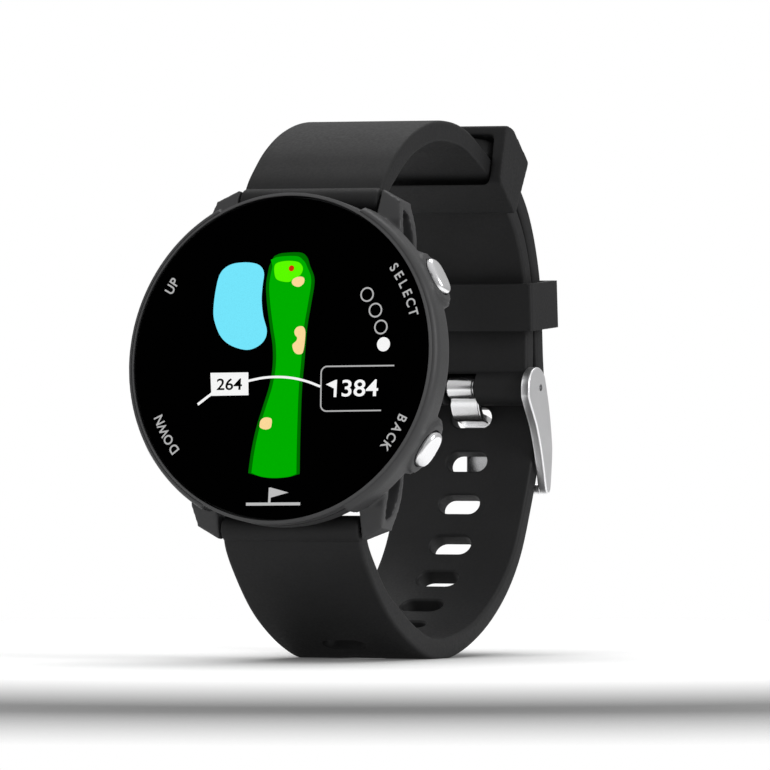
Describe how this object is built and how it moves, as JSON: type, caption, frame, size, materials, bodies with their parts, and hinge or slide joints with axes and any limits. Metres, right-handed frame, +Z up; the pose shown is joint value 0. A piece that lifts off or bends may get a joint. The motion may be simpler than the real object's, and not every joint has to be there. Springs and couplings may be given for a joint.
{
  "type": "golf gps watch",
  "caption": "Round golf GPS watch with side buttons, standing on its buckled silicone strap, with keeper loops, a tang buckle and quick-release spring bars.",
  "frame": {"origin": "middle of the bounding box on the plane the strap rests on", "axes": "+Z up, the watch face looks towards -Y and tilts 7.7 degrees upwards, +X runs across the strap towards 3 o'clock"},
  "size_m": [0.0482, 0.0708, 0.0765],
  "materials": {
    "case_plastic": "fine matte texture",
    "bezel_plastic": "satin",
    "cover_glass": "polished",
    "screen": "polished",
    "black_plastic": "matte",
    "board": "satin solder mask",
    "tin": "satin",
    "ceramic": "satin",
    "foil": "satin",
    "seal_rubber": "matte",
    "gold_plate": "polished",
    "strap_silicone": "matte silicone",
    "polished_steel": "polished",
    "steel": "satin"
  },
  "bodies": {
    "watch": {"bezel_ring": "bezel_plastic", "mid_case": "case_plastic", "lens_glass": "cover_glass", "display_panel": "screen", "display_carrier": "black_plastic", "main_board": "board", "radio_shield": "tin", "processor_chip": "black_plastic", "gnss_antenna": "ceramic", "battery_cell": "foil", "vibration_motor": "tin", "back_gasket": "seal_rubber", "back_cover": "case_plastic", "back_screw_1": "steel", "back_screw_2": "steel", "back_screw_3": "steel", "back_screw_4": "steel", "charge_contact_1": "gold_plate", "charge_contact_2": "gold_plate", "charge_contact_3": "gold_plate", "charge_contact_4": "gold_plate", "button_seal_select": "seal_rubber", "button_seal_back": "seal_rubber", "button_seal_up": "seal_rubber", "button_seal_down": "seal_rubber", "button_switch_select": "tin", "button_switch_back": "tin", "button_switch_up": "tin", "button_switch_down": "tin", "lug_bar_top": "steel", "lug_bar_bottom": "steel", "short_strap": "strap_silicone", "long_strap": "strap_silicone", "locking_keeper": "strap_silicone", "buckle_bar": "steel"},
    "button_up_body": {"button_up": "polished_steel"},
    "button_down_body": {"button_down": "polished_steel"},
    "button_select_body": {"button_select": "polished_steel"},
    "button_back_body": {"button_back": "polished_steel"},
    "release_top": {"release_lever_top": "steel"},
    "release_bottom": {"release_lever_bottom": "steel"},
    "frame": {"buckle_frame": "polished_steel"},
    "tongue": {"buckle_tongue": "polished_steel"},
    "loop": {"sliding_keeper": "strap_silicone"}
  },
  "joints": [
    {"name": "press_up", "type": "slide", "parent": "watch", "child": "button_up_body", "axis": [0.8678, -0.0666, -0.4925], "range_m": [0, 0.0006], "stiffness_N_per_m": 1500, "springref_m": -0.0004},
    {"name": "press_down", "type": "slide", "parent": "watch", "child": "button_down_body", "axis": [0.8678, 0.0666, 0.4925], "range_m": [0, 0.0006], "stiffness_N_per_m": 1500, "springref_m": -0.0004},
    {"name": "press_select", "type": "slide", "parent": "watch", "child": "button_select_body", "axis": [-0.8678, -0.0666, -0.4925], "range_m": [0, 0.0006], "stiffness_N_per_m": 1500, "springref_m": -0.0004},
    {"name": "press_back", "type": "slide", "parent": "watch", "child": "button_back_body", "axis": [-0.8678, 0.0666, 0.4925], "range_m": [0, 0.0006], "stiffness_N_per_m": 1500, "springref_m": -0.0004},
    {"name": "release_top_slide", "type": "slide", "parent": "watch", "child": "release_top", "axis": [-1, 0, 0], "range_m": [0, 0.0012], "stiffness_N_per_m": 800, "springref_m": -0.001},
    {"name": "release_bottom_slide", "type": "slide", "parent": "watch", "child": "release_bottom", "axis": [-1, 0, 0], "range_m": [0, 0.0012], "stiffness_N_per_m": 800, "springref_m": -0.001},
    {"name": "frame_hinge", "type": "hinge", "parent": "watch", "child": "frame", "pos_m": [0, 0.02855, 0.0385], "axis": [1, 0, 0], "range_deg": [0, 7.5]},
    {"name": "tongue_hinge", "type": "hinge", "parent": "frame", "child": "tongue", "pos_m": [0, 0.02855, 0.0385], "axis": [1, 0, 0], "range_deg": [0, 3]},
    {"name": "keeper_slide", "type": "slide", "parent": "watch", "child": "loop", "axis": [0, -0.0671, 0.9977], "range_m": [-0.002, 0.002]}
  ]
}
